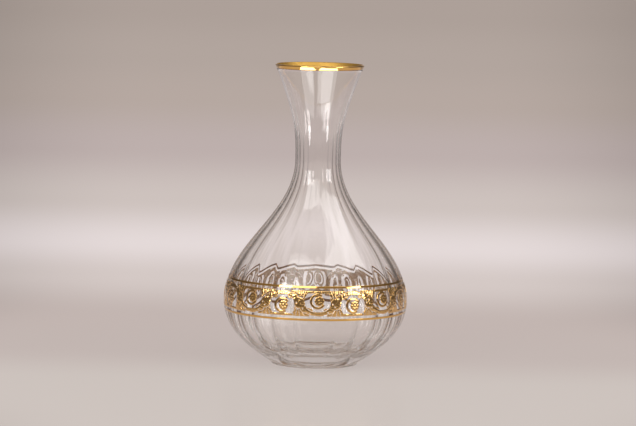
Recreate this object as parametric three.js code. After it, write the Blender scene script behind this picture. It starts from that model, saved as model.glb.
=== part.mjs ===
// Carafe of blown crystal with optic flutes inside and fired gold outside.
// Millimetres, +Z up. The origin is the centre of the foot, on the surface that it stands on,
// and -Y is the front. The vessel is one blown piece; every separate island of gold is its own mesh.
import * as THREE from 'three';

const { degToRad, lerp, smoothstep } = THREE.MathUtils;

// Vessel, outer form
const height = 260; // foot to the top of the glass lip
const footRadius = 37.7;
const footEdge = 1.5; // height of the eased edge round the foot
const footChamfer = 1.2; // how far that edge steps in at the bottom
const bearingWidth = 4; // flat ring that the carafe stands on
const puntDepth = 2.6; // hollow under the foot
const puntShoulder = 2; // how high the hollow still is halfway out
const bellyRadius = 79.4;
const bellyHeight = 54.7; // where the belly is widest
const neckRadius = 19.8;
const neckHeight = 177.2; // where the neck is narrowest
const lipRadius = 38.3;

// Vessel, how far each curve runs straight on from its ends
const footPull = 23.4;
const footRise = degToRad(31.7); // slope of the bowl where it leaves the foot
const bowlPull = 25.3;
const shoulderPull = 48.3;
const neckPull = 48.3;
const flarePull = 27.4;
const lipPull = 47.8;
const lipLean = degToRad(21.2); // how far the lip leans out from upright

// Vessel, inside
const bellyWall = 4.2;
const neckWall = 2.4;
const lipWall = 1.6;
const floorHeight = 8.5; // solid crystal under the hollow
const floorPull = 58;
const innerBowlPull = 26;

// Optic flutes, hollows blown into the inner wall with a sharp ridge between each two
const fluteCount = 24;
const bowlFluteDepth = 1.6;
const neckFluteDepth = 0.25;
const fluteFade = 6; // the flutes are drawn out with the neck, so they soon grow shallow
const fluteStart = 36; // radius on the floor where the flutes begin
const fluteRunIn = 14; // how much further out they are full

// Fired gold
const goldThickness = 0.25;
const goldSeat = 0.3; // clearance from the glass that carries it
const lipBand = 3.3; // height of gold down the outside of the lip
const lipBandInside = 4.1; // and down the inside
const lineWidth = 1.9;

// Frieze, a vine that runs round the belly with a scroll in each of its waves
const scrollCount = 16;
const friezeRise = 6.9; // middle of the frieze, measured up the glass from the widest line
const friezeTurn = degToRad(1.9); // of the first scroll past the front
const rosetteRadius = 3.5;
const rosettePetals = 8;
const petalDepth = 0.5;
const rosetteGap = 1.2; // bare glass between a rosette and its scroll
const scrollWidening = 1.06; // scrolls and rosettes are this much wider than they are tall
const scrollStroke = 1.6;
const vineStroke = 4.4;
const clearGap = 2.2; // bare glass between a scroll and the vine
const leafRoom = 17.9; // between two neighbouring scrolls, for the vine and its leaves
const lineMargin = 2; // bare glass between the frieze and its border lines
const scrollStart = degToRad(192); // where a scroll leaves the vine
const scrollSweep = degToRad(330); // how far it curls
const scrollTip = 0.7; // width of its two ends
const sheathWidth = 4.4; // widest part of the sheath that a scroll grows from
const sheathSweep = degToRad(100); // how much of the curl is sheath
const leafReach = 4.1;
const leafLobes = 5;
const leafNotch = 0.36; // how far the notches between lobes cut in, as a share of the leaf

// Facets
const facetsPerFlute = 3;
const facets = fluteCount * facetsPerFlute;
const bowlSteps = 8;
const shoulderSteps = 11;
const flareSteps = 5;
const lipSteps = 2;
const vineStepsPerScroll = 8;
const scrollSteps = 16;
const petalSteps = 3;
const lobeSteps = 4;

const TURN = Math.PI * 2;
const polar = (radius, angle) => new THREE.Vector2(radius * Math.cos(angle), radius * Math.sin(angle));

// The lip is a half round; its middle leans out with the wall.
const lipMiddle = new THREE.Vector2(
  lipRadius - (lipWall / 2) * Math.cos(lipLean),
  height - lipWall / 2,
);
const lipPoint = (angle, radius = lipWall / 2) => lipMiddle.clone().add(polar(radius, angle - lipLean));

// One side of the wall from the belly up: the same curves serve outside and inside.
function shoulderCurve(bellyR, neckR) {
  return new THREE.CubicBezierCurve(
    new THREE.Vector2(bellyR, bellyHeight),
    new THREE.Vector2(bellyR, bellyHeight + shoulderPull),
    new THREE.Vector2(neckR, neckHeight - neckPull),
    new THREE.Vector2(neckR, neckHeight),
  );
}

function flareCurve(neckR, end) {
  const back = new THREE.Vector2(Math.sin(lipLean), Math.cos(lipLean)).multiplyScalar(-lipPull);
  return new THREE.CubicBezierCurve(
    new THREE.Vector2(neckR, neckHeight),
    new THREE.Vector2(neckR, neckHeight + flarePull),
    end.clone().add(back),
    end,
  );
}

const outerBowl = new THREE.CubicBezierCurve(
  new THREE.Vector2(footRadius, footEdge),
  new THREE.Vector2(footRadius, footEdge).add(polar(footPull, footRise)),
  new THREE.Vector2(bellyRadius, bellyHeight - bowlPull),
  new THREE.Vector2(bellyRadius, bellyHeight),
);
const outerShoulder = shoulderCurve(bellyRadius, neckRadius);
const outerFlare = flareCurve(neckRadius, lipPoint(0));

const innerBellyRadius = bellyRadius - bellyWall;
const innerNeckRadius = neckRadius - neckWall;
const innerBowl = new THREE.CubicBezierCurve(
  new THREE.Vector2(0, floorHeight),
  new THREE.Vector2(floorPull, floorHeight),
  new THREE.Vector2(innerBellyRadius, bellyHeight - innerBowlPull),
  new THREE.Vector2(innerBellyRadius, bellyHeight),
);
const innerShoulder = shoulderCurve(innerBellyRadius, innerNeckRadius);
const innerFlare = flareCurve(innerNeckRadius, lipPoint(Math.PI));

// A lathe stands on +Y and starts at +Z: this stands it on +Z and starts it at the front.
const standUp = (geometry) => geometry.rotateX(Math.PI / 2);

// How deep the flutes are at a point of the inner profile.
function fluteDepth(r, z) {
  if (z < bellyHeight) return bowlFluteDepth * smoothstep(r, fluteStart, fluteStart + fluteRunIn);
  if (z < neckHeight) {
    const left = (neckHeight - z) / (neckHeight - bellyHeight);
    return lerp(neckFluteDepth, bowlFluteDepth, left ** fluteFade);
  }
  return neckFluteDepth * Math.max(0, (height - lipWall - z) / (height - lipWall - neckHeight));
}

function vessel() {
  const bearingRadius = footRadius - footChamfer;
  const outside = [
    new THREE.Vector2(0, puntDepth),
    new THREE.Vector2((bearingRadius - bearingWidth) / 2, puntShoulder),
    new THREE.Vector2(bearingRadius - bearingWidth, 0),
    new THREE.Vector2(bearingRadius, 0),
    ...outerBowl.getPoints(bowlSteps),
    ...outerShoulder.getPoints(shoulderSteps).slice(1),
    ...outerFlare.getPoints(flareSteps).slice(1),
  ];
  for (let i = 1; i < lipSteps; i++) outside.push(lipPoint((i / lipSteps) * Math.PI));
  const inside = [
    ...innerFlare.getPoints(flareSteps).reverse(),
    ...innerShoulder.getPoints(shoulderSteps).reverse().slice(1),
    ...innerBowl.getPoints(bowlSteps).reverse().slice(1),
  ];
  const profile = [...outside, ...inside];
  const geometry = new THREE.LatheGeometry(profile, facets);
  const at = geometry.attributes.position;
  for (let facet = 0; facet <= facets; facet++) {
    const angle = (facet / facets) * TURN;
    const hollow = Math.abs(Math.sin((angle * fluteCount) / 2));
    for (let i = outside.length; i < profile.length - 1; i++) {
      const { x: r, y: z } = profile[i];
      const radius = r + fluteDepth(r, z) * hollow;
      at.setXYZ(facet * profile.length + i, radius * Math.sin(angle), z, radius * Math.cos(angle));
    }
  }
  return standUp(geometry);
}

// Gold over the lip: a thin channel that keeps its clearance from the glass all round.
function lipGilding() {
  const inner = lipWall / 2 + goldSeat;
  const outer = inner + goldThickness;
  const side = (angle, radius, drop) => {
    const along = new THREE.Vector2(Math.sin(lipLean), Math.cos(lipLean)).multiplyScalar(-drop);
    return lipPoint(angle, radius).add(along);
  };
  const arch = (radius) => [0, 1 / 3, 2 / 3, 1].map((t) => lipPoint(t * Math.PI, radius));
  const profile = [
    side(0, inner, lipBand - lipWall / 2),
    side(0, outer, lipBand - lipWall / 2),
    ...arch(outer),
    side(Math.PI, outer, lipBandInside - lipWall / 2),
    side(Math.PI, inner, lipBandInside - lipWall / 2),
    ...arch(inner).reverse(),
  ];
  return standUp(new THREE.LatheGeometry([...profile, profile[0]], facets));
}

// The skin of the belly in flat coordinates: u runs round from the front, v up the glass from
// the middle of the frieze, and lift stands off the glass.
const bellySkin = new THREE.CurvePath();
bellySkin.add(outerBowl);
bellySkin.add(outerShoulder);
const skinLength = bellySkin.getLength();
const friezeMiddle = outerBowl.getLength() + friezeRise;

function onProfile(v, lift) {
  const t = (friezeMiddle + v) / skinLength;
  const point = bellySkin.getPoint(t);
  const tangent = bellySkin.getTangent(t);
  return new THREE.Vector2(point.x + tangent.y * lift, point.y - tangent.x * lift);
}

function onBelly(u, v, lift) {
  const { x: r, y: z } = onProfile(v, lift);
  const angle = u / bellyRadius + friezeTurn;
  return [r * Math.sin(angle), -r * Math.cos(angle), z];
}

// Sizes of the frieze that follow from its strokes
const scrollRadius = rosetteRadius + rosetteGap + scrollStroke / 2; // to the middle of the stroke
const scrollOuter = scrollRadius + scrollStroke / 2;
const scrollRaise = (clearGap + scrollStroke) / 2; // of a scroll's centre off the middle line
const vineSwing = scrollOuter + clearGap + vineStroke / 2 - scrollRaise;
const friezeHalf = vineSwing + vineStroke / 2;
const drawnPitch = 2 * scrollOuter * scrollWidening + leafRoom;
const pitch = (TURN * bellyRadius) / scrollCount;
const stretch = pitch / drawnPitch; // fits a whole number of scrolls round the belly

function borderLine(side) {
  const middle = side * (friezeHalf + lineMargin + lineWidth / 2);
  const low = middle - lineWidth / 2;
  const high = middle + lineWidth / 2;
  const profile = [
    onProfile(low, goldSeat),
    onProfile(low, goldSeat + goldThickness),
    onProfile(high, goldSeat + goldThickness),
    onProfile(high, goldSeat),
  ];
  return standUp(new THREE.LatheGeometry([...profile, profile[0]], facets));
}

// Places a drawing of the frieze on the belly: number counts the scrolls from the front, and
// every other one hangs upside down.
const hangs = (number) => number % 2 === 1;
const placing = (number) => (point, lift) => {
  return onBelly((number * drawnPitch + point.x) * stretch, hangs(number) ? -point.y : point.y, lift);
};

// A drawing that hangs upside down is mirrored, so its faces are turned the right way out.
function solidFrom(vertices, faces, mirrored) {
  const turned = mirrored ? faces.map(([a, b, c]) => [a, c, b]) : faces;
  const geometry = new THREE.BufferGeometry();
  geometry.setAttribute('position', new THREE.Float32BufferAttribute(vertices.flat(), 3));
  geometry.setIndex(turned.flat());
  geometry.computeVertexNormals();
  return geometry;
}

// A film of gold along a list of [left, right] points, joined end to end where it goes all round.
function ribbon(sections, place, { closed = false, mirrored = false }) {
  const vertices = sections.flatMap(([left, right]) => [
    place(left, goldSeat),
    place(right, goldSeat),
    place(right, goldSeat + goldThickness),
    place(left, goldSeat + goldThickness),
  ]);
  const faces = [];
  const count = sections.length;
  for (let i = 0; i < (closed ? count : count - 1); i++) {
    const a = i * 4;
    const b = ((i + 1) % count) * 4;
    for (let k = 0; k < 4; k++) {
      const n = (k + 1) % 4;
      faces.push([a + k, b + k, b + n], [a + k, b + n, a + n]);
    }
  }
  if (!closed) {
    const z = (count - 1) * 4;
    faces.push([0, 1, 2], [0, 2, 3], [z, z + 2, z + 1], [z, z + 3, z + 2]);
  }
  return solidFrom(vertices, faces, mirrored);
}

// A film of gold with a star-shaped outline, fanned from its centre.
function star(centre, outline, place, mirrored) {
  const count = outline.length;
  const low = outline.map((point) => place(point, goldSeat));
  const high = outline.map((point) => place(point, goldSeat + goldThickness));
  const vertices = [...low, ...high, place(centre, goldSeat), place(centre, goldSeat + goldThickness)];
  const faces = [];
  for (let i = 0; i < count; i++) {
    const n = (i + 1) % count;
    faces.push([2 * count, n, i], [2 * count + 1, count + i, count + n]);
    faces.push([i, n, count + n], [i, count + n, count + i]);
  }
  return solidFrom(vertices, faces, mirrored);
}

// The vine dips under each upright scroll and climbs over each hanging one.
function vine() {
  const sections = [];
  for (let i = 0; i < scrollCount * vineStepsPerScroll; i++) {
    const along = (i / vineStepsPerScroll) * drawnPitch;
    const phase = (i / vineStepsPerScroll) * Math.PI;
    const slope = ((vineSwing * Math.PI) / drawnPitch) * Math.sin(phase);
    const across = new THREE.Vector2(-slope, 1).setLength(vineStroke / 2);
    const middle = new THREE.Vector2(along, -vineSwing * Math.cos(phase));
    sections.push([middle.clone().add(across), middle.clone().sub(across)]);
  }
  const place = (point, lift) => onBelly(point.x * stretch, point.y, lift);
  return ribbon(sections, place, { closed: true });
}

// A point of a scroll or its rosette, by its distance and direction from their shared centre.
const aroundScroll = (radius, angle) => {
  const point = polar(radius, angle);
  return new THREE.Vector2(point.x * scrollWidening, scrollRaise + point.y);
};

// A scroll grows out of a sheath beside the vine and curls clockwise round its rosette.
function scroll(number) {
  const sections = [];
  for (let i = 0; i <= scrollSteps; i++) {
    const curled = (i / scrollSteps) * scrollSweep;
    const left = scrollSweep - curled;
    const sheath = Math.sin(Math.PI * Math.min(curled / sheathSweep, 1)) * (sheathWidth - scrollStroke);
    const taper = i === 0 ? 0 : smoothstep(left, 0, sheathSweep);
    const drawnIn = smoothstep(curled, 0, sheathSweep);
    const radius = lerp(scrollOuter + clearGap, scrollRadius, drawnIn);
    const half = (lerp(scrollTip, scrollStroke, taper) + sheath) / 2;
    const angle = scrollStart - curled;
    sections.push([aroundScroll(radius + half, angle), aroundScroll(radius - half, angle)]);
  }
  return ribbon(sections, placing(number), { mirrored: hangs(number) });
}

function rosette(number) {
  const count = rosettePetals * petalSteps;
  const outline = [];
  for (let i = 0; i < count; i++) {
    const petal = Math.abs(Math.sin((i / count) * Math.PI * rosettePetals));
    outline.push(aroundScroll(rosetteRadius - petalDepth * (1 - petal), (i / count) * TURN));
  }
  return star(aroundScroll(0, 0), outline, placing(number), hangs(number));
}

// A lobed leaf in the corner between a scroll, the vine and the border line.
function leaf(number) {
  const count = leafLobes * lobeSteps;
  const centre = new THREE.Vector2(drawnPitch / 2 - clearGap, friezeHalf - leafReach);
  const outline = [];
  for (let i = 0; i < count; i++) {
    const lobe = Math.abs(Math.sin((i / count) * Math.PI * leafLobes));
    const radius = leafReach * (1 - leafNotch * (1 - lobe));
    outline.push(centre.clone().add(polar(radius, (i / count) * TURN + Math.PI / 2)));
  }
  return star(centre, outline, placing(number), hangs(number));
}

const crystal = new THREE.MeshStandardMaterial({
  color: 0xf4f2ef,
  roughness: 0.03,
  metalness: 0,
  transparent: true,
  opacity: 0.35,
});
const gold = new THREE.MeshStandardMaterial({ color: 0xd9a441, roughness: 0.22, metalness: 1 });

const carafe = new THREE.Group();
function add(name, geometry, material) {
  const mesh = new THREE.Mesh(geometry, material);
  mesh.name = name;
  carafe.add(mesh);
}

add('glass_vessel', vessel(), crystal);
add('lip_gilding', lipGilding(), gold);
add('upper_gold_line', borderLine(1), gold);
add('lower_gold_line', borderLine(-1), gold);
add('frieze_vine', vine(), gold);
for (let i = 0; i < scrollCount; i++) {
  const number = String(i + 1).padStart(2, '0');
  add(`frieze_scroll_${number}`, scroll(i), gold);
  add(`frieze_rosette_${number}`, rosette(i), gold);
  add(`frieze_leaf_${number}`, leaf(i), gold);
}

export default carafe;
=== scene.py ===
import math

import bpy
import numpy as np
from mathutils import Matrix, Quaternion, Vector


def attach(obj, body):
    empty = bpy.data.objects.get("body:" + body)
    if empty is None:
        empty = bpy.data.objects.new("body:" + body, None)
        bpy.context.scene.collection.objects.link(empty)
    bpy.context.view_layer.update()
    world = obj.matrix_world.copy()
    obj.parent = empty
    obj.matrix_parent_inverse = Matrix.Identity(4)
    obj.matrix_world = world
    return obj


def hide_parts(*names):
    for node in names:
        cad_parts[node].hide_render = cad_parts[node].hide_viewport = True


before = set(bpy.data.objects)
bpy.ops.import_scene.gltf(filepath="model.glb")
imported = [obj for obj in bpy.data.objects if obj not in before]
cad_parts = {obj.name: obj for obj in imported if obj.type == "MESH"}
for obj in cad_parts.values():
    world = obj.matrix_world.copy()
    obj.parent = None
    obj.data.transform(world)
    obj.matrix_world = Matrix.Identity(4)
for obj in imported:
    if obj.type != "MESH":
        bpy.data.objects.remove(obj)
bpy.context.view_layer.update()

# The vessel
# A pear-shaped carafe, one piece of clear lead crystal, blown into a ribbed mould and then turned
# smooth outside, so that only its inner wall keeps the flutes. The foot is ground flat.

MM = 0.001  # the sizes below are in millimetres

height = 260
foot_radius = 37.7
foot_edge = 1.5  # the height at which the foot is widest
bearing_radius = 36.5  # of the ground ring that the carafe stands on
bearing_width = 4
punt_depth = 2.6  # of the shallow hollow under the foot
punt_run_out = (4, 0.4)  # how its curve nears the ground ring, inwards and up
foot_corner = (0.3, 0.5)  # how far the corner of the foot is rounded off, inwards and up
belly_radius = 79.4
belly_height = 54.7
neck_radius = 19.8
neck_height = 177.2
lip_radius = 38.3
lip_lean = math.radians(21.2)
foot_rise = math.radians(31.7)  # of the bowl where it leaves the foot
belly_wall = 4.2
neck_wall = 2.4
lip_wall = 1.6
floor_height = 8.5  # of the inner floor, above the solid foot
flute_count = 24
bowl_flute_depth = 1.6
neck_flute_depth = 0.25
flute_fade = 6  # the flutes were drawn out as the neck was pulled, so they grow shallow fast
flute_start = 36  # the radius at which the flutes begin in the bowl
flute_run_in = 14
columns_per_flute = 12

# How far the curves of the walls run straight on from each of their ends
punt_pull = 18
bowl_pull = 23.4
belly_pull = 25.3
inner_floor_pull = 58
inner_belly_pull = 26
shoulder_pull = 48.3
neck_pull = 27.4
lip_pull = 47.8


def bezier(start, pull_out, pull_in, end, steps):
    """Points of one Bezier curve, as rows of radius and height, without the first."""
    t = np.arange(1, steps + 1)[:, None] / steps
    a, b, c, d = (np.array(p, float) for p in (start, pull_out, pull_in, end))
    return (1 - t) ** 3 * a + 3 * t * (1 - t) ** 2 * b + 3 * t**2 * (1 - t) * c + t**3 * d


def shoulder(belly, neck, steps=40):
    """The wall from the belly up to the narrowest part of the neck, at the radii given."""
    start, end = (belly, belly_height), (neck, neck_height)
    up = np.array([0, shoulder_pull])
    return bezier(start, start + up, end - up, end, steps)


def flare(neck, end, steps=24):
    """The wall from the neck, at the radius given, out to a point on the lip."""
    back = -lip_pull * np.array([math.sin(lip_lean), math.cos(lip_lean)])
    return bezier((neck, neck_height), (neck, neck_height + neck_pull), end + back, end, steps)


lip_middle = np.array([lip_radius - lip_wall / 2 * math.cos(lip_lean), height - lip_wall / 2])


def lip_point(angle, radius=lip_wall / 2):
    """A point off the middle of the lip, where angle 0 is outside and a half turn is inside."""
    return lip_middle + radius * np.array([math.cos(angle - lip_lean), math.sin(angle - lip_lean)])


def smooth(x, low, high):
    """Rises softly from nought at low to one at high."""
    t = np.clip((x - low) / (high - low), 0, 1)
    return t * t * (3 - 2 * t)


bowl_out = (foot_radius + bowl_pull * math.cos(foot_rise), foot_edge + bowl_pull * math.sin(foot_rise))
foot_rim = (foot_radius, foot_edge)
widest = (belly_radius, belly_height)
outer_skin = np.vstack([
    foot_rim,
    bezier(foot_rim, bowl_out, (belly_radius, belly_height - belly_pull), widest, 30),
    shoulder(belly_radius, neck_radius),
    flare(neck_radius, lip_point(0)),
])
bearing_inside = bearing_radius - bearing_width
foot = np.vstack([
    (0, punt_depth),
    bezier(
        (0, punt_depth), (punt_pull, punt_depth),
        (bearing_inside - punt_run_out[0], punt_run_out[1]), (bearing_inside, 0), 10,
    ),
    (bearing_radius, 0),
    bezier(
        (bearing_radius, 0), (foot_radius - foot_corner[0], 0), (foot_radius, foot_corner[1]), foot_rim, 5,
    )[:-1],
])
lip = np.array([lip_point(math.pi * i / 10) for i in range(1, 10)])
inner_belly = belly_radius - belly_wall
inner_neck = neck_radius - neck_wall
inner_skin = np.vstack([
    lip_point(math.pi),
    flare(inner_neck, lip_point(math.pi))[::-1][1:],
    shoulder(inner_belly, inner_neck)[::-1],
    bezier(
        (0, floor_height), (inner_floor_pull, floor_height),
        (inner_belly, belly_height - inner_belly_pull), (inner_belly, belly_height), 36,
    )[::-1],
    (0, floor_height),
])


def flute_depth(r, z):
    """How deep the flutes are at a point of the inner wall: full in the bowl, and fading up to the lip."""
    below = bowl_flute_depth * smooth(r, flute_start, flute_start + flute_run_in)
    left = np.clip((neck_height - z) / (neck_height - belly_height), 0, 1)
    above = neck_flute_depth + (bowl_flute_depth - neck_flute_depth) * left**flute_fade
    left = np.clip((height - lip_wall - z) / (height - lip_wall - neck_height), 0, 1)
    in_neck = neck_flute_depth * left
    return np.where(z < belly_height, below, np.where(z < neck_height, above, in_neck))


def new_object(name, data):
    """A new object in the scene, with the data given."""
    obj = bpy.data.objects.new(name, data)
    bpy.context.scene.collection.objects.link(obj)
    return obj


def add_node(tree, kind, links=(), **settings):
    """Adds a node. Links holds a value for each input, or the node or socket that feeds it."""
    made = tree.nodes.new(kind)
    for name, value in settings.items():
        setattr(made, name, value)
    for socket, value in (links if isinstance(links, dict) else dict(enumerate(links))).items():
        if isinstance(value, bpy.types.Node):
            value = value.outputs[0]
        if isinstance(value, bpy.types.NodeSocket):
            tree.links.new(value, made.inputs[socket])
        else:
            made.inputs[socket].default_value = value
    return made


def profile_curve(name, points, depths=None):
    """A curve through rows of radius and height. Its points' radius holds how deep the flutes are there."""
    curve = bpy.data.curves.new(name, "CURVE")
    curve.dimensions = "3D"
    spline = curve.splines.new("POLY")
    spline.points.add(len(points) - 1)
    for i, (point, (r, z)) in enumerate(zip(spline.points, points)):
        point.co = (r * MM, 0, z * MM, 1)
        point.radius = 0 if depths is None else depths[i] * MM
    return new_object(name, curve)


def new_tree(name, inputs):
    """A geometry tree with the named inputs. Returns it, its input node and each input's identifier."""
    tree = bpy.data.node_groups.new(name, "GeometryNodeTree")
    tree.interface.new_socket(name="Geometry", in_out="INPUT", socket_type="NodeSocketGeometry")
    keys = {}
    for label, kind in inputs.items():
        keys[label] = tree.interface.new_socket(name=label, in_out="INPUT", socket_type=kind).identifier
    tree.interface.new_socket(name="Geometry", in_out="OUTPUT", socket_type="NodeSocketGeometry")
    return tree, tree.nodes.new("NodeGroupInput"), keys


def finish_both_sides(tree, geometry, given, inward_below=-0.3):
    """Ends a tree with one material, and another one on the faces that look towards the axis."""
    normal = add_node(tree, "GeometryNodeInputNormal")
    place = add_node(tree, "GeometryNodeInputPosition")
    level = add_node(tree, "ShaderNodeVectorMath", [place, (1, 1, 0)], operation="MULTIPLY")
    away = add_node(tree, "ShaderNodeVectorMath", [level], operation="NORMALIZE")
    facing = add_node(tree, "ShaderNodeVectorMath", [normal, away], operation="DOT_PRODUCT").outputs["Value"]
    inward = add_node(tree, "FunctionNodeCompare", [facing, inward_below], operation="LESS_THAN")
    outer = add_node(tree, "GeometryNodeSetMaterial", {0: geometry, "Material": given.outputs["Material"]})
    both = add_node(tree, "GeometryNodeSetMaterial", {
        0: outer, "Selection": inward, "Material": given.outputs["Underside"],
    })
    add_node(tree, "NodeGroupOutput", [both])


weld = 1e-6  # points that are nearer to each other than this, in metres, become one


def turned_tree():
    """Turns a profile curve round the Z axis, from the front, with flutes where its radius isn't nought."""
    tree, given, keys = new_tree("turned on the axis", {
        "Columns": "NodeSocketInt", "Flutes": "NodeSocketInt", "Material": "NodeSocketMaterial",
        "Underside": "NodeSocketMaterial",
    })
    points = add_node(tree, "GeometryNodeCurveToPoints", [given.outputs["Geometry"]], mode="EVALUATED")
    size = add_node(tree, "GeometryNodeAttributeDomainSize", [points], component="POINTCLOUD")
    rows = size.outputs["Point Count"]
    columns = given.outputs["Columns"]
    lines = add_node(tree, "ShaderNodeMath", [columns, 1], operation="ADD")
    grid = add_node(tree, "GeometryNodeMeshGrid", {"Vertices X": lines, "Vertices Y": rows})
    index = add_node(tree, "GeometryNodeInputIndex")
    row = add_node(tree, "FunctionNodeIntegerMath", [index, rows], operation="MODULO")
    column = add_node(tree, "FunctionNodeIntegerMath", [index, rows], operation="DIVIDE_FLOOR")
    spot = add_node(tree, "GeometryNodeInputPosition")
    place = add_node(tree, "GeometryNodeSampleIndex", {
        "Geometry": points, "Value": spot, "Index": row,
    }, data_type="FLOAT_VECTOR")
    held = add_node(tree, "GeometryNodeInputRadius")
    depth = add_node(tree, "GeometryNodeSampleIndex", {
        "Geometry": points, "Value": held, "Index": row,
    }, data_type="FLOAT")
    share = add_node(tree, "ShaderNodeMath", [column, columns], operation="DIVIDE")
    flute = add_node(tree, "ShaderNodeMath", [share, given.outputs["Flutes"]], operation="MULTIPLY")
    swing = add_node(tree, "ShaderNodeMath", [flute, math.pi], operation="MULTIPLY")
    wave = add_node(tree, "ShaderNodeMath", [swing], operation="SINE")
    hollow = add_node(tree, "ShaderNodeMath", [wave], operation="ABSOLUTE")
    part = add_node(tree, "ShaderNodeSeparateXYZ", [place])
    radius = add_node(tree, "ShaderNodeMath", [depth, hollow, part.outputs["X"]], operation="MULTIPLY_ADD")
    flat = add_node(tree, "ShaderNodeCombineXYZ", {"X": radius, "Z": part.outputs["Z"]})
    angle = add_node(tree, "ShaderNodeMath", [share, math.tau, -math.pi / 2], operation="MULTIPLY_ADD")
    turned = add_node(tree, "ShaderNodeVectorRotate", {
        "Vector": flat, "Angle": angle,
    }, rotation_type="Z_AXIS")
    moved = add_node(tree, "GeometryNodeSetPosition", {"Geometry": grid, "Position": turned})
    closed = add_node(tree, "GeometryNodeMergeByDistance", {0: moved, "Distance": weld})
    whole = add_node(tree, "GeometryNodeRealizeInstances", [closed])
    finish_both_sides(tree, whole, given)
    return tree, keys


def made_plain(name, source, tree, settings):
    """Runs a geometry tree on an object and returns the result as a new plain mesh object."""
    modifier = source.modifiers.new("form", "NODES")
    modifier.node_group = tree
    for key, value in settings.items():
        modifier[key] = value
    bpy.context.view_layer.update()
    depsgraph = bpy.context.evaluated_depsgraph_get()
    mesh = bpy.data.meshes.new_from_object(source.evaluated_get(depsgraph), depsgraph=depsgraph)
    source.modifiers.remove(modifier)
    mesh.name = name
    for polygon in mesh.polygons:
        polygon.use_smooth = True
    return new_object(name, mesh)


def linear(code):
    """An sRGB hex colour as the linear one, with full alpha, that shaders take."""
    parts = [int(code[i:i + 2], 16) / 255 for i in (1, 3, 5)]
    return tuple(c / 12.92 if c <= 0.04045 else ((c + 0.055) / 1.055) ** 2.4 for c in parts) + (1.0,)


def new_material(name):
    """An empty material and its node tree."""
    material = bpy.data.materials.new(name)
    material.use_nodes = True
    material.node_tree.nodes.clear()
    return material, material.node_tree


def clouds(tree, width, detail):
    """Soft noise, in clouds so many millimetres wide, that stays in place on an object."""
    place = add_node(tree, "ShaderNodeTexCoord").outputs["Object"]
    return add_node(tree, "ShaderNodeTexNoise", {
        "Vector": place, "Scale": 1 / (width * MM), "Detail": detail,
    }).outputs[0]


def blend(tree, factor, first, second):
    """A colour that goes from the first to the second as the factor rises from nought to one."""
    mix = add_node(tree, "ShaderNodeMix", {"Factor": factor, 6: first, 7: second}, data_type="RGBA")
    return mix.outputs[2]  # 6, 7 and 2 are the sockets that hold colours


def crystal_material():
    """Clear lead crystal, blown and fire polished: clean, with the faint waviness of hot glass."""
    wave_length, wave_rise = 24, 0.3
    smear_width = 9
    material, tree = new_material("lead_crystal")
    waves = clouds(tree, wave_length, 1.0)
    smears = clouds(tree, smear_width, 3.0)
    rough = add_node(tree, "ShaderNodeMapRange", {
        "Value": smears, "From Min": 0.45, "From Max": 0.8, "To Min": 0.0, "To Max": 0.03,
    })
    bump = add_node(tree, "ShaderNodeBump", {
        "Height": waves, "Strength": 0.25, "Distance": wave_rise * MM,
    })
    glass = add_node(tree, "ShaderNodeBsdfPrincipled", {
        "Base Color": linear("#FFFEFD"), "Roughness": rough.outputs[0], "IOR": 1.54,
        "Transmission Weight": 1.0, "Normal": bump.outputs[0],
    })
    add_node(tree, "ShaderNodeOutputMaterial", {"Surface": glass.outputs[0]})
    return material


turned, turned_keys = turned_tree()
crystal = crystal_material()
vessel_profile = np.vstack([foot, outer_skin, lip, inner_skin])
outside_points = len(foot) + len(outer_skin) + len(lip)
depths = flute_depth(vessel_profile[:, 0], vessel_profile[:, 1])
depths[:outside_points] = 0
drawn = profile_curve("vessel_profile", vessel_profile, depths)
vessel = made_plain("crystal_vessel", drawn, turned, {
    turned_keys["Columns"]: flute_count * columns_per_flute,
    turned_keys["Flutes"]: flute_count,
    turned_keys["Material"]: crystal,
    turned_keys["Underside"]: crystal,
})
bpy.data.objects.remove(drawn)
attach(vessel, "root")
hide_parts("glass_vessel")

# The gilding of the lip
# Bright gold, brushed on as a liquid and fired, that wraps over the lip from outside to inside. It is
# burnished outside and left satin inside.

gold_seat = 0.12  # how deep the film is sunk in the glass, so that no gap shows
gold_film = 0.16  # how far it stands off the glass
film_rim = gold_film * 0.5  # how far its very edge does
film_edge = 0.12  # how far in from its edge the film has its full thickness
lip_band = 3.3  # how far it reaches down from the top of the lip
lip_band_inside = 4.1
gold_columns = 192  # faces round a ring of gold


def gold_material(name, code, roughness, grain, depth):
    """Fired gold under a film of its own flux, burnished, with some of the grain of the glass under it."""
    rub_width = 7
    material, tree = new_material(name)
    etched = clouds(tree, grain, 2.0)
    rubbed = clouds(tree, rub_width, 2.0)
    rough = add_node(tree, "ShaderNodeMapRange", {
        "Value": rubbed, "From Min": 0.3, "From Max": 0.7,
        "To Min": roughness * 0.8, "To Max": roughness * 1.3,
    })
    bump = add_node(tree, "ShaderNodeBump", {
        "Height": etched, "Strength": 1.0, "Distance": depth * MM,
    })
    metal = add_node(tree, "ShaderNodeBsdfPrincipled", {
        "Base Color": linear(code), "Metallic": 1.0,
        "Roughness": rough.outputs[0], "Normal": bump.outputs[0],
        "Coat Weight": 1.0, "Coat IOR": 1.55, "Coat Roughness": 0.03, "Coat Normal": bump.outputs[0],
    })
    add_node(tree, "ShaderNodeOutputMaterial", {"Surface": metal.outputs[0]})
    return material


def satin_material():
    """The gold inside the lip, which is left as it comes from the kiln: a soft, even sheen."""
    brush_width = 5
    material, tree = new_material("satin_gold")
    tone = blend(tree, clouds(tree, brush_width, 2.0), linear("#CCA04A"), linear("#D9AF5B"))
    sheen = add_node(tree, "ShaderNodeBsdfPrincipled", {
        "Base Color": tone, "Metallic": 0.9, "Roughness": 0.5,
    })
    add_node(tree, "ShaderNodeOutputMaterial", {"Surface": sheen.outputs[0]})
    return material


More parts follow.
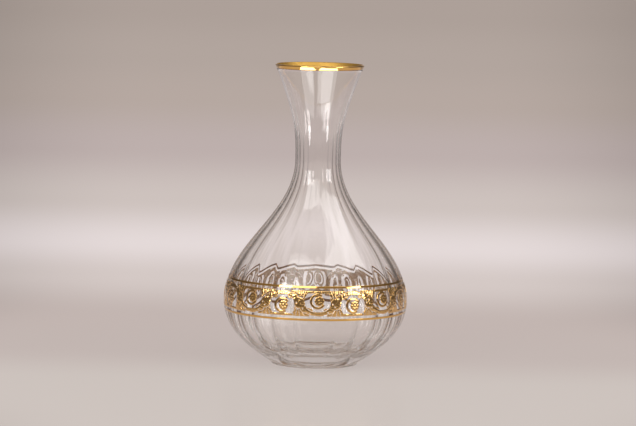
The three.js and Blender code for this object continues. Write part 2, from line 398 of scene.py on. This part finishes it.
gold = gold_material("burnished_gold", "#F8C466", 0.04, 2.5, 0.004)
satin_gold = satin_material()
down = -np.array([math.sin(lip_lean), math.cos(lip_lean)])


def lip_side(angle, lift, drop):
    """A point on one side of the lip, lifted off the glass and so far down from the top."""
    return lip_point(angle, lip_wall / 2 + lift) + down * (drop - lip_wall / 2)


def arch(lift, steps=12):
    """The points over the top of the lip from outside to inside, lifted off the glass."""
    return [lip_point(math.pi * i / steps, lip_wall / 2 + lift) for i in range(steps + 1)]


def turned_gold(name, profile, underside, node):
    """Turns the outline of a film into a ring of gold, which stands for one of the CAD's nodes."""
    drawn = profile_curve(name + "_profile", np.vstack([*profile, profile[0]]))
    piece = made_plain(name, drawn, turned, {
        turned_keys["Columns"]: gold_columns, turned_keys["Flutes"]: 0,
        turned_keys["Material"]: gold, turned_keys["Underside"]: underside,
    })
    bpy.data.objects.remove(drawn)
    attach(piece, "root")
    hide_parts(node)
    return piece


gilded_lip = turned_gold("gilded_lip", [
    lip_side(0, -gold_seat, lip_band), lip_side(0, film_rim, lip_band),
    lip_side(0, gold_film, lip_band - film_edge), lip_side(0, gold_film, lip_band - 2 * film_edge),
    *arch(gold_film),
    lip_side(math.pi, gold_film, lip_band_inside - 2 * film_edge),
    lip_side(math.pi, gold_film, lip_band_inside - film_edge),
    lip_side(math.pi, film_rim, lip_band_inside), lip_side(math.pi, -gold_seat, lip_band_inside),
    *arch(-gold_seat)[::-1],
], satin_gold, "lip_gilding")

# The two gold lines
# Thin bands of burnished gold, one above and one below the frieze. Each is laid on with a brush while the
# vessel turns, and fired.

line_width = 1.9
line_distance = 13.95  # from the middle of the frieze to the middle of a line
frieze_rise = 6.9  # of the middle of the frieze above the widest part of the belly, along the glass


def underside_material(name, dark, light):
    """The back of the gold, fused to the glass and seen through it: matt, and rosier than the front."""
    burn_width = 3
    material, tree = new_material(name)
    tone = blend(tree, clouds(tree, burn_width, 3.0), linear(dark), linear(light))
    back = add_node(tree, "ShaderNodeBsdfPrincipled", {
        "Base Color": tone, "Metallic": 0.0, "Roughness": 0.5,
    })
    add_node(tree, "ShaderNodeOutputMaterial", {"Surface": back.outputs[0]})
    return material


line_back = underside_material("gold_line_underside", "#C08860", "#D8A67C")


def lengths_along(line):
    """How far along a line each of its points is."""
    return np.concatenate([[0], np.cumsum(np.hypot(*np.diff(line, axis=0).T))])


skin_lengths = lengths_along(outer_skin)
frieze_middle = skin_lengths[np.argmax(outer_skin[:, 0])] + frieze_rise


def on_skin(v, lift):
    """A point off the vessel's outer profile, v up the glass from the middle of the frieze, and lifted."""

    def at(s):
        """The point of the profile at a length along it."""
        return np.array([np.interp(s, skin_lengths, outer_skin[:, k]) for k in (0, 1)])

    way = at(frieze_middle + v + 1) - at(frieze_middle + v - 1)
    way /= np.hypot(*way)
    return at(frieze_middle + v) + lift * np.array([way[1], -way[0]])


for name, middle in (("upper_gold_line", line_distance), ("lower_gold_line", -line_distance)):
    low, high = middle - line_width / 2, middle + line_width / 2
    turned_gold(name.replace("gold", "gilt"), [
        on_skin(low, -gold_seat), on_skin(low, film_rim),
        on_skin(low + film_edge, gold_film), on_skin(low + 2 * film_edge, gold_film),
        on_skin(high - 2 * film_edge, gold_film), on_skin(high - film_edge, gold_film),
        on_skin(high, film_rim), on_skin(high, -gold_seat),
    ], line_back, name)

# The frieze
# Sixteen scrolls in the waves of a vine, by turns above and below it. The pattern is etched into the
# crystal, painted with liquid gold, fired, and burnished, so each stroke stands up with rounded edges.

units = 16
pitch = math.tau * belly_radius / units
frieze_turn = math.radians(1.9)
frieze_half = 10.9  # how far the pattern reaches above and below its middle
grid_half = 12
grid_step = 0.35
edge_rise = 0.10  # of a stroke's rim above the glass
full_rise = 0.32
edge_round = 0.3
slowest_slope = 0.4  # of a field, where its lobes meet
groove_half = 0.35  # the half width of a groove that follows a line
unit_weld = 2e-6  # in metres, for the seams between the vine's units
eye_raise = 1.9  # of a rosette towards the edge of the frieze
eye_half = (10.9, 9.1)  # of the clear room round a rosette, across and up
eye_shift = 0.3
eye_squareness = 2.6
vine_swing = 8.6
vine_reach = 1.1  # in units, how far its line runs to each side of a unit's middle
vine_points = 700
vine_half = 1.95
vine_swell = 1.9  # how much wider each half of it is where it crosses the middle
spine_depth = 0.1
leaf_length = 0.5
leaf_swell = 1.5
leaf_slant = 0.1
leaf_notch = 0.6  # how far its edge draws back between two leaves, as a share of a leaf
leaves_per_wave = 5
veins_per_wave = 15
vein_slant = 0.22
vein_depth = 0.12
vein_share = 0.3  # of the way between two veins that one takes up
eyelets = (-0.4, -0.2, 0.2, 0.4)  # where small holes pierce it, in waves from the middle of a unit
eyelet_radius = 0.55
eyelet_distance = 1.7  # from the middle of the vine
eyelet_slant = 0.5

frieze_back = underside_material("etched_gold_underside", "#FFC68E", "#FFE0B8")
etched_gold = gold_material("etched_gold", "#F6C67A", 0.07, 1.5, 0.05)
rows = 2 * math.ceil(grid_half / grid_step)
v_line = (np.arange(rows + 1) - rows / 2) * grid_step


def grid(low, high):
    """The u and v of the points of a flat grid, with u from low to high and v the same way up and down."""
    columns = round((high - low) / grid_step)
    return np.meshgrid(np.linspace(low, high, columns + 1), v_line, indexing="ij")


def off_line(u, v, line):
    """How far each point is off a line, and how far along the line its nearest point is."""
    gap = (u[..., None] - line[:, 0]) ** 2 + (v[..., None] - line[:, 1]) ** 2
    return np.sqrt(gap.min(axis=-1)), lengths_along(line)[gap.argmin(axis=-1)]


def relief(field, groove):
    """The height of a stroke: low at its edge, full a little way in, less what a groove takes off."""
    steep = np.hypot(*np.gradient(field, grid_step, grid_step))
    inside = np.maximum(-field, 0) / np.maximum(steep, slowest_slope)
    return edge_rise + (full_rise - edge_rise) * (1 - np.exp(-inside / edge_round)) - groove


def cut_out(name, u, v, field, rise, open_ends=False):
    """A flat unit of gold where the field is below nought, with its top, its walls and its underside."""
    corners, spots = {}, []

    def corner(i, j):
        """The number of the grid's point in the list of spots, to which its first use adds it."""
        if (i, j) not in corners:
            corners[i, j] = len(spots)
            spots.append((u[i, j], v[i, j], rise[i, j]))
        return corners[i, j]

    def crossing(a, b):
        """The number of the spot where the edge between two points of the grid meets the field's nought."""
        key = (min(a, b), max(a, b))
        if key not in corners:
            a, b = key
            t = field[a] / (field[a] - field[b])
            start, end = (np.array([u[spot], v[spot], edge_rise]) for spot in (a, b))
            corners[key] = len(spots)
            spots.append(tuple((1 - t) * start + t * end))
        return corners[key]

    faces = []
    inside = field < 0
    for i, j in zip(*np.nonzero(inside[:-1, :-1] | inside[1:, :-1] | inside[1:, 1:] | inside[:-1, 1:])):
        ring = [(i, j), (i + 1, j), (i + 1, j + 1), (i, j + 1)]
        face = []
        for k in range(4):
            a, b = ring[k], ring[(k + 1) % 4]
            if inside[a]:
                face.append(corner(*a))
            if inside[a] != inside[b]:
                face.append(crossing(a, b))
        faces.append(face)
    top = len(spots)
    sides = {(a, b) for face in faces for a, b in zip(face, face[1:] + face[:1])}
    spots += [(x, y, -gold_seat) for x, y, z in spots]
    ends = (u[0, 0], u[-1, 0])
    walls = []
    for a, b in sides:
        at_end = open_ends and spots[a][0] == spots[b][0] and spots[a][0] in ends
        if (b, a) not in sides and not at_end:
            walls.append([b, a, a + top, b + top])
    faces += [[k + top for k in face[::-1]] for face in faces] + sorted(walls)
    mesh = bpy.data.meshes.new(name)
    mesh.from_pydata([(x * MM, y * MM, z * MM) for x, y, z in spots], [], faces)
    mesh.validate()
    return new_object(name, mesh)


def frieze_tree():
    """Sets units in a row, every other one upside down, and wraps the row round the vessel's skin."""
    tree, given, keys = new_tree("wrapped round the belly", {
        "Units": "NodeSocketInt", "Pitch": "NodeSocketFloat", "Belly Radius": "NodeSocketFloat",
        "Middle": "NodeSocketFloat", "Turn": "NodeSocketFloat", "Skin": "NodeSocketObject",
        "Material": "NodeSocketMaterial", "Underside": "NodeSocketMaterial",
    })
    flat = given.outputs["Geometry"]
    over = add_node(tree, "GeometryNodeTransform", {0: flat, "Scale": (1, -1, 1)})
    hanging = add_node(tree, "GeometryNodeFlipFaces", [over])
    pair = add_node(tree, "GeometryNodeJoinGeometry")
    for shape in (hanging.outputs[0], flat):
        kept = add_node(tree, "GeometryNodeGeometryToInstance", [shape])
        tree.links.new(kept.outputs[0], pair.inputs[0])
    step = add_node(tree, "ShaderNodeCombineXYZ", {"X": given.outputs["Pitch"]})
    row = add_node(tree, "GeometryNodeMeshLine", {"Count": given.outputs["Units"], "Offset": step})
    index = add_node(tree, "GeometryNodeInputIndex")
    which = add_node(tree, "FunctionNodeIntegerMath", [index, 2], operation="MODULO")
    laid = add_node(tree, "GeometryNodeInstanceOnPoints", {
        "Points": row, "Instance": pair, "Pick Instance": True, "Instance Index": which,
    })
    strip = add_node(tree, "GeometryNodeRealizeInstances", [laid])
    drawn = add_node(tree, "GeometryNodeInputPosition")
    part = add_node(tree, "ShaderNodeSeparateXYZ", [drawn])
    up = add_node(tree, "ShaderNodeMath", [part.outputs["Y"], given.outputs["Middle"]], operation="ADD")
    line = add_node(tree, "GeometryNodeObjectInfo", {"Object": given.outputs["Skin"]})
    found = add_node(tree, "GeometryNodeSampleCurve", {
        "Curves": line.outputs["Geometry"], "Length": up,
    }, mode="LENGTH", use_all_curves=True)
    way = found.outputs["Tangent"]
    out = add_node(tree, "ShaderNodeVectorMath", [(0, 1, 0), way], operation="CROSS_PRODUCT")
    lifted = add_node(tree, "ShaderNodeVectorMath", [
        out, part.outputs["Z"], found.outputs["Position"],
    ], operation="MULTIPLY_ADD")
    share = add_node(tree, "ShaderNodeMath", [
        part.outputs["X"], given.outputs["Belly Radius"],
    ], operation="DIVIDE")
    angle = add_node(tree, "ShaderNodeMath", [share, given.outputs["Turn"]], operation="ADD")
    wrapped = add_node(tree, "ShaderNodeVectorRotate", {
        "Vector": lifted, "Angle": angle,
    }, rotation_type="Z_AXIS")
    moved = add_node(tree, "GeometryNodeSetPosition", {"Geometry": strip, "Position": wrapped})
    joined = add_node(tree, "GeometryNodeMergeByDistance", {0: moved, "Distance": unit_weld})
    finish_both_sides(tree, joined, given)
    return tree, keys


skin = profile_curve("outer_skin", outer_skin)
wrapping, wrapping_keys = frieze_tree()


def gilded(name, unit, nodes):
    """Repeats a flat unit round the belly as one piece, which stands for the CAD's nodes."""
    piece = made_plain(name, unit, wrapping, {
        wrapping_keys["Units"]: units, wrapping_keys["Pitch"]: pitch * MM,
        wrapping_keys["Belly Radius"]: belly_radius * MM, wrapping_keys["Middle"]: frieze_middle * MM,
        wrapping_keys["Turn"]: frieze_turn - math.pi / 2, wrapping_keys["Skin"]: skin,
        wrapping_keys["Material"]: etched_gold, wrapping_keys["Underside"]: frieze_back,
    })
    bpy.data.objects.remove(unit)
    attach(piece, "root")
    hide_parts(*nodes)


def numbered(node):
    """The names of the CAD's nodes for one kind of unit, all the way round."""
    return [f"{node}_{i + 1:02d}" for i in range(units)]


def off_eye(u, v, middle=0.0, upright=1):
    """How far each point is outside the clear room round a rosette, which is a little squared."""
    x = np.abs(u - middle + eye_shift) / eye_half[0]
    y = np.abs(v * upright - eye_raise) / eye_half[1]
    return ((x**eye_squareness + y**eye_squareness) ** (1 / eye_squareness) - 1) * eye_half[1]


def vine_field(u, v):
    """Below nought on the vine, with the depth of its veins. Its edges are leaves, and eyelets pierce it."""
    reach = np.linspace(-vine_reach, vine_reach, vine_points) * pitch
    line = np.stack([reach, -vine_swing * np.cos(math.pi * reach / pitch)], axis=1)
    lengths = lengths_along(line)
    off, along = off_line(u, v, line)
    start = np.interp(0, reach, lengths)
    full = 2 * (np.interp(pitch / 2, reach, lengths) - start)
    share = (along - start) / full
    crossing = np.sin(math.pi * share) ** 2
    lobes = np.abs(np.cos(math.pi * (share * leaves_per_wave - leaf_slant * off)))
    veins = np.abs(np.cos(math.pi * (share * veins_per_wave - vein_slant * off)))
    leaves = (leaf_length + leaf_swell * crossing) * (np.sqrt(lobes) - leaf_notch)
    half = vine_half + vine_swell * crossing + leaves
    field = np.maximum(off - half, np.abs(v) - frieze_half)
    for middle, upright in ((-pitch, -1), (0, 1), (pitch, -1)):
        field = np.maximum(field, -off_eye(u, v, middle, upright))
    for k in eyelets:
        eyelet = np.hypot((share - k) * full - eyelet_slant * off, off - eyelet_distance)
        field = np.maximum(field, eyelet_radius - eyelet)
    spine = spine_depth * np.exp(-(off / groove_half) ** 2)
    return field, spine + vein_depth * np.exp(-(veins / vein_share) ** 2)


u, v = grid(-pitch / 2, pitch / 2)
field, vein = vine_field(u, v)
unit = cut_out("vine_unit", u, v, field, relief(field, vein), open_ends=True)
gilded("gilt_vine", unit, ["frieze_vine"])

# The rosettes
# The flower in the eye of each scroll, with eight petals round a boss. It is etched, gilded and fired with
# the rest of the frieze.

petals = 8
rosette_radius = 3.7
petal_tip = 0.5
boss_radius = 1.3
petal_groove = 0.22  # the depth of the grooves between petals and round the boss
cleft_half = 0.5
cleft_start = 1.2  # the radius from which the petals are parted
rosette_shift = (1.0, 0.2)  # of its middle, across and up
rosette_room = (-4.2, 6.3)

u, v = grid(*rosette_room)
x, y = u - rosette_shift[0], v - eye_raise - rosette_shift[1]
r, a = np.hypot(x, y), np.arctan2(y, x)
between = np.abs(np.cos(a * petals / 2))
field = r - (rosette_radius + petal_tip * np.sqrt(between))
clefts = petal_groove * np.exp(-(between * r / cleft_half) ** 2) * (r > cleft_start)
groove = clefts + petal_groove * np.exp(-((r - boss_radius) / groove_half) ** 2)
unit = cut_out("rosette_unit", u, v, field, relief(field, groove))
gilded("gilt_rosettes", unit, numbered("frieze_rosette"))

# The scrolls
# Each grows from a leafy sheath on the vine and curls round the side and foot of its rosette, under a
# strip along the edge of the frieze. A gap of bare etched glass parts it from the vine.

clear_gap = 0.35
scroll_room = (-pitch * 0.86, pitch * 0.45)
curl_outside = 6.8
curl_inside = 4.75
curl_shift = 0.4
curl_open_from = math.radians(-28)
curl_opening = math.radians(80)
curl_spine = 5.75
curl_groove_depth = 0.12
hood_height = 9.75  # of the strip over a rosette
hood_half = (9.6, 1.05)
fan_lobes = 7
fan_reach = 13.5
fan_foot = (pitch * 0.46, 1.2)  # from where its lobes spread
sheath_spread = (math.radians(5), math.radians(165))
fan_bound = (1.0, -9.0)  # what its field says past the ends of its spread, and between them
tip_share = 0.2
slit_width = 0.18
slit_run_in = (1.8, 4.0)
rib_depth = 0.15
rib_half = 0.12  # as a share of a lobe
cross_rib_share = 0.8  # of the depth of the other ribs
cross_rib_turn = 1.15  # in radians to a millimetre, with a rib at each half turn
cross_rib_bend = 3
cross_rib_half = 0.3


def curl_field(u, v):
    """Below nought on the ring of a scroll, which is open towards the right, with each point's radius."""
    x, y = u + curl_shift, v - eye_raise
    r, a = np.hypot(x, y), np.arctan2(y, x)
    turned_by = np.mod(a - curl_open_from, math.tau)
    opening = r * np.minimum(turned_by, curl_opening - turned_by)
    return np.maximum.reduce([r - curl_outside, curl_inside - r, opening]), r


def hood_field(u, v):
    """Below nought on the strip over a rosette."""
    return np.maximum(np.abs(v - hood_height) - hood_half[1], np.abs(u) - hood_half[0])


def fan_field(u, v, middle, start, end):
    """Below nought on a leaf of lobes that spread from a point, with slits between them, and its ribs."""
    x, y = u - middle[0], v - middle[1]
    r, a = np.hypot(x, y), np.arctan2(y, x)
    share = (a - start) / (end - start)
    tips = np.abs(np.sin(math.pi * share * fan_lobes))
    field = r - fan_reach * (1 - tip_share + tip_share * np.sqrt(tips))
    field = np.maximum(field, np.where((share < 0) | (share > 1), *fan_bound))
    slits = slit_width * smooth(r, *slit_run_in) - tips / (math.pi * fan_lobes / abs(end - start)) * r
    cross_waves = np.abs(np.sin(r * cross_rib_turn + cross_rib_bend * tips))
    cross_ribs = cross_rib_share * np.exp(-(cross_waves / cross_rib_half) ** 2)
    ribs = np.exp(-((1 - tips) / rib_half) ** 2) + cross_ribs
    return np.maximum(field, slits), rib_depth * ribs


u, v = grid(*scroll_room)
curl, r = curl_field(u, v)
sheath, sheath_groove = fan_field(u, v, (-fan_foot[0], fan_foot[1]), *sheath_spread)
sheath = np.maximum.reduce([sheath, -off_eye(u, v), np.abs(v) - frieze_half])
sheath = np.minimum(sheath, hood_field(u, v))
field = np.maximum(np.minimum(curl, sheath), clear_gap - vine_field(u, v)[0])
curl_groove = curl_groove_depth * np.exp(-((r - curl_spine) / groove_half) ** 2)
groove = np.where(curl < sheath, curl_groove, sheath_groove)
unit = cut_out("scroll_unit", u, v, field, relief(field, groove))
gilded("gilt_scrolls", unit, numbered("frieze_scroll"))

# The leaves
# One leaf of gold, like the sheath turned round, fills the corner on the other side of each scroll. Bare
# etched glass parts it from the vine and from the strip.

leaf_room = (pitch * 0.1, pitch * 0.9)
leaf_spread = (math.radians(175), math.radians(15))

u, v = grid(*leaf_room)
leaf, leaf_groove = fan_field(u, v, fan_foot, *leaf_spread)
leaf = np.maximum.reduce([leaf, -off_eye(u, v), np.abs(v) - frieze_half])
field = np.maximum.reduce([leaf, clear_gap - vine_field(u, v)[0], clear_gap - hood_field(u, v)])
unit = cut_out("leaf_unit", u, v, field, relief(field, leaf_groove))
gilded("gilt_leaves", unit, numbered("frieze_leaf"))
bpy.data.objects.remove(skin)

# The floor, the light and the camera
# The floor and backdrop are one pale sweep of smooth paper. The light comes from two broad soft panels and
# two lower strips in front, and bright cards on the floor give the glass and the lip their crisp lights.

floor_radius = 40  # in metres, like the other sizes of the studio
floor_drop = 0.2 * MM
floor_spokes = 96
ramp_start = -1.0  # the row of painted light tones starts a metre in front of the carafe and runs away behind it
ramp_length = 10.0
wedge_point = 3.0  # how far in front of the carafe the wedge of full tone, free of painted shade, starts
wedge_edges = (0.05, 0.19)  # its slant where the painted shade beside it starts, and where it is full
front_edges = (-0.7, -1.5)  # the same along Y, in front
painted_shade_edges = (0.3, 0.6)  # how far from the carafe the painted shade starts, and where it is complete
# how much of the tone the painted shade takes away
painted_shade_depth = 0.7
gloss_shift = 0.45  # how much further out gloss sees the full tone, before the painted shade starts
paper_glow = 0.75  # the share of its tone that the paper shows whatever light falls on it
gloss_shares = (0.85, 0.95)  # of the glow that gloss sees: less near the foot, as a painted shade of the carafe, and more further out
gloss_edges = (0.32, 0.5)  # how far from the carafe the painted shade near the foot ends, and where the second share starts
aim_height = 0.13  # of the point on the carafe's axis that the panels face
card_height = 2 * MM  # above the table


def set_stops(ramp, stops):
    """Gives a colour ramp its stops. The positions come first, as each can change the order."""
    elements = ramp.color_ramp.elements
    while len(elements) < len(stops):
        elements.new(0.5)
    for element, (position, code) in zip(elements, stops):
        element.position = position
    for element, (position, code) in zip(elements, stops):
        element.color = linear(code)


def sweep_material():
    """Smooth pale paper. The eye, gloss and glass all see a glow of its tone, and it keeps the shadow.

    The tone is painted light: brightest about a metre behind the carafe, and dimmer further away.
    Outside a wedge that widens away from the front it is toned down, a painted shade which gives the glass
    its dark edges.
    """
    material, tree = new_material("paper_sweep")
    place = add_node(tree, "ShaderNodeTexCoord").outputs["Object"]
    far = add_node(tree, "ShaderNodeVectorMath", [place], operation="LENGTH").outputs["Value"]
    part = add_node(tree, "ShaderNodeSeparateXYZ", [place])
    share = add_node(tree, "ShaderNodeMath", [
        part.outputs["Y"], 1 / ramp_length, -ramp_start / ramp_length,
    ], operation="MULTIPLY_ADD")
    ramp = add_node(tree, "ShaderNodeValToRGB", [share])
    # The tones paint the studio light along the sweep: brightest about a metre behind the carafe, a little
    # darker just behind its foot, and dimmer far behind
    painted_light_tones = [
        (-0.12, "#D2C9C4"), (0.06, "#C9BDB9"), (0.3, "#CABDB9"), (0.62, "#DFD4D1"), (0.95, "#F2E8E8"),
        (1.5, "#DACFCB"), (2.4, "#C8BAB8"), (3.7, "#C0B2AB"), (5.5, "#BBAEA7"), (8.9, "#B5A8A1"),
    ]
    ramp.color_ramp.interpolation = "EASE"
    set_stops(ramp, [((distance - ramp_start) / ramp_length, code) for distance, code in painted_light_tones])
    # Beside the wedge and far in front, a painted shade darkens the tone
    across = add_node(tree, "ShaderNodeMath", [part.outputs["X"]], operation="ABSOLUTE")
    back = add_node(tree, "ShaderNodeMath", [part.outputs["Y"], wedge_point], operation="ADD")
    depth = add_node(tree, "ShaderNodeMath", [back, 0.01], operation="MAXIMUM")
    slant = add_node(tree, "ShaderNodeMath", [across, depth], operation="DIVIDE")
    beside = add_node(tree, "ShaderNodeMapRange", {
        "Value": slant, "From Min": wedge_edges[0], "From Max": wedge_edges[1],
    }, interpolation_type="SMOOTHSTEP")
    before = add_node(tree, "ShaderNodeMapRange", {
        "Value": part.outputs["Y"], "From Min": front_edges[0], "From Max": front_edges[1],
    }, interpolation_type="SMOOTHSTEP")
    # The painted shade starts only some way out from the carafe, and further out in gloss
    path = add_node(tree, "ShaderNodeLightPath").outputs
    reach = add_node(tree, "ShaderNodeMath", [
        path["Is Glossy Ray"], -gloss_shift, far,
    ], operation="MULTIPLY_ADD")
    outward = add_node(tree, "ShaderNodeMapRange", {
        "Value": reach, "From Min": painted_shade_edges[0], "From Max": painted_shade_edges[1], "To Max": painted_shade_depth,
    }, interpolation_type="SMOOTHSTEP")
    edge = add_node(tree, "ShaderNodeMath", [beside, before], operation="MAXIMUM")
    painted_side_shade = add_node(tree, "ShaderNodeMath", [edge, outward], operation="MULTIPLY")
    tone = blend(tree, painted_side_shade, ramp, (0, 0, 0, 1))
    # Light bounced off matt surfaces sees none of the glow, and gloss a little less of it near the foot, as
    # a painted shade of the carafe
    glow = add_node(tree, "ShaderNodeEmission", {"Color": tone, "Strength": paper_glow})
    paper = add_node(tree, "ShaderNodeBsdfPrincipled", {"Base Color": tone, "Roughness": 0.25})
    gloss_share_with_painted_shade = add_node(tree, "ShaderNodeMapRange", {
        "Value": far, "From Min": gloss_edges[0], "From Max": gloss_edges[1],
        "To Min": gloss_shares[0], "To Max": gloss_shares[1],
    })
    mirrored = add_node(tree, "ShaderNodeMath", [path["Is Glossy Ray"], gloss_share_with_painted_shade], operation="MULTIPLY")
    direct = add_node(tree, "ShaderNodeMath", [path["Is Camera Ray"], mirrored], operation="MAXIMUM")
    seen = add_node(tree, "ShaderNodeMath", [direct, path["Is Transmission Ray"]], operation="MAXIMUM")
    black = add_node(tree, "ShaderNodeEmission", {"Strength": 0.0})
    shown = add_node(tree, "ShaderNodeMixShader", [seen, black, glow])
    dim = add_node(tree, "ShaderNodeMixShader", [1 - paper_glow, black, paper])
    both = add_node(tree, "ShaderNodeAddShader", [shown, dim])
    add_node(tree, "ShaderNodeOutputMaterial", {"Surface": both.outputs[0]})
    return material


angles = [math.tau * i / floor_spokes for i in range(floor_spokes)]
rim = [(floor_radius * math.cos(a), floor_radius * math.sin(a), -floor_drop) for a in angles]
floor_mesh = bpy.data.meshes.new("floor")
floor_mesh.from_pydata(rim, [], [tuple(range(floor_spokes))])
floor_mesh.materials.append(sweep_material())
floor = new_object("floor", floor_mesh)


def area_lamp(name, width, tall, radiance):
    """A rectangular lamp that is as bright at any size, and that the camera doesn't see."""
    data = bpy.data.lights.new(name, "AREA")
    data.shape = "RECTANGLE"
    data.size, data.size_y = width, tall
    data.energy = radiance * math.pi * data.size * data.size_y
    lamp = new_object(name, data)
    lamp.visible_camera = False
    return lamp


def panel(name, azimuth, elevation, width, tall, distance, radiance, soft):
    """A panel with soft edges that faces the carafe and covers so many degrees, across and up.

    Azimuth grows from the camera to the right.
    """
    wide, high = (2 * distance * math.tan(math.radians(degrees / 2)) for degrees in (width, tall))
    lamp = area_lamp(name, wide, high, radiance)
    lamp.data.use_nodes = True
    tree = lamp.data.node_tree
    tree.nodes.clear()
    spot = add_node(tree, "ShaderNodeNewGeometry").outputs["Parametric"]
    moved = add_node(tree, "ShaderNodeVectorMath", [spot, (0.5, 0.5, 0)], operation="SUBTRACT")
    off = add_node(tree, "ShaderNodeVectorMath", [moved], operation="ABSOLUTE")
    part = add_node(tree, "ShaderNodeSeparateXYZ", [off])
    rim = add_node(tree, "ShaderNodeMath", [part.outputs["X"], part.outputs["Y"]], operation="MAXIMUM")
    fall = add_node(tree, "ShaderNodeMapRange", {
        "Value": rim, "From Min": 0.5, "From Max": 0.5 - soft,
    }, interpolation_type="SMOOTHSTEP")
    glow = add_node(tree, "ShaderNodeEmission", {"Strength": fall})
    add_node(tree, "ShaderNodeOutputLight", [glow])
    a, e = math.radians(azimuth), math.radians(elevation)
    away = Vector((math.sin(a) * math.cos(e), -math.cos(a) * math.cos(e), math.sin(e)))
    lamp.location = Vector((0, 0, aim_height)) + away * distance
    lamp.rotation_mode = "QUATERNION"
    lamp.rotation_quaternion = away.to_track_quat("Z", "Y")


panel("left_softbox", -21, 42, 42, 36, 1.6, 2.1, 0.08)
panel("right_softbox", 58, 52, 54, 26, 1.6, 2.0, 0.08)
panel("left_strip", -41, 21, 18, 22, 1.5, 6.0, 0.1)
panel("right_strip", 53, 17, 20, 20, 1.5, 6.0, 0.1)


def card(name, azimuth, near, far, width, radiance, receiver):
    """A bright card on the floor in front, flagged off from every piece but one."""
    lamp = area_lamp(name, width, far - near, radiance)
    a = math.radians(azimuth)
    lamp.location = Vector((math.sin(a), -math.cos(a), 0)) * (near + far) / 2 + Vector((0, 0, card_height))
    lamp.rotation_euler = (math.pi, 0, a)
    lamp.visible_transmission = False
    lit_piece = bpy.data.collections.new("lit by " + name)
    lit_piece.objects.link(receiver)
    lamp.light_linking.receiver_collection = lit_piece


card("left_card", -39, 0.24, 0.38, 0.21, 2.3, vessel)
card("right_card", 31, 0.24, 0.4, 0.25, 2.3, vessel)
card("left_lip_card", -37, 0.22, 0.42, 0.25, 4.5, gilded_lip)
card("right_lip_card", 27, 0.22, 0.36, 0.29, 4.5, gilded_lip)
card("left_glint", -44, 0.5, 1.25, 0.11, 9.0, vessel)
card("right_glint", 43, 0.5, 0.95, 0.12, 9.0, vessel)

# The room: dim walls, with a pale one straight behind the carafe, and a lighter ceiling
world = bpy.data.worlds.new("studio")
bpy.context.scene.world = world
world.use_nodes = True
room = world.node_tree
room.nodes.clear()
way = add_node(room, "ShaderNodeTexCoord").outputs["Generated"]
towards = add_node(room, "ShaderNodeSeparateXYZ", [way])
share = add_node(room, "ShaderNodeMapRange", {"Value": towards.outputs["Y"], "From Min": -1.0})
walls = add_node(room, "ShaderNodeValToRGB", [share])
set_stops(walls, [
    (0.0, "#6E6662"), (0.25, "#6E6662"), (0.45, "#6E665F"), (0.9, "#4C4743"), (0.9925, "#B4A79F"),
])
up = add_node(room, "ShaderNodeMapRange", {
    "Value": towards.outputs["Z"], "From Min": 0.3, "From Max": 0.75,
}, interpolation_type="SMOOTHSTEP")
tone = blend(room, up, walls, linear("#A89E97"))
sky = add_node(room, "ShaderNodeBackground", {"Color": tone, "Strength": 1.0})
add_node(room, "ShaderNodeOutputWorld", {"Surface": sky.outputs[0]})

# The camera, where the photograph was taken from
camera_place = Vector((0, -2.7445, 0.39685))
camera_aim = Vector((0.0009, 0, 0.1310))
camera_roll = math.radians(1.15)
camera_data = bpy.data.cameras.new("camera")
camera_data.lens = 180
camera_data.sensor_width = 36
camera_data.clip_end = 100
camera = new_object("camera", camera_data)
camera.location = camera_place
camera.rotation_mode = "QUATERNION"
aimed = (camera_aim - camera_place).to_track_quat("-Z", "Y")
camera.rotation_quaternion = aimed @ Quaternion((0, 0, 1), camera_roll)
scene = bpy.context.scene
scene.camera = camera
scene.view_settings.view_transform = "Standard"

# Light that is caught in the foot meets many walls of glass before it leaves
light_bounces = 32
scene.cycles.max_bounces = light_bounces
scene.cycles.transmission_bounces = light_bounces
scene.cycles.glossy_bounces = light_bounces
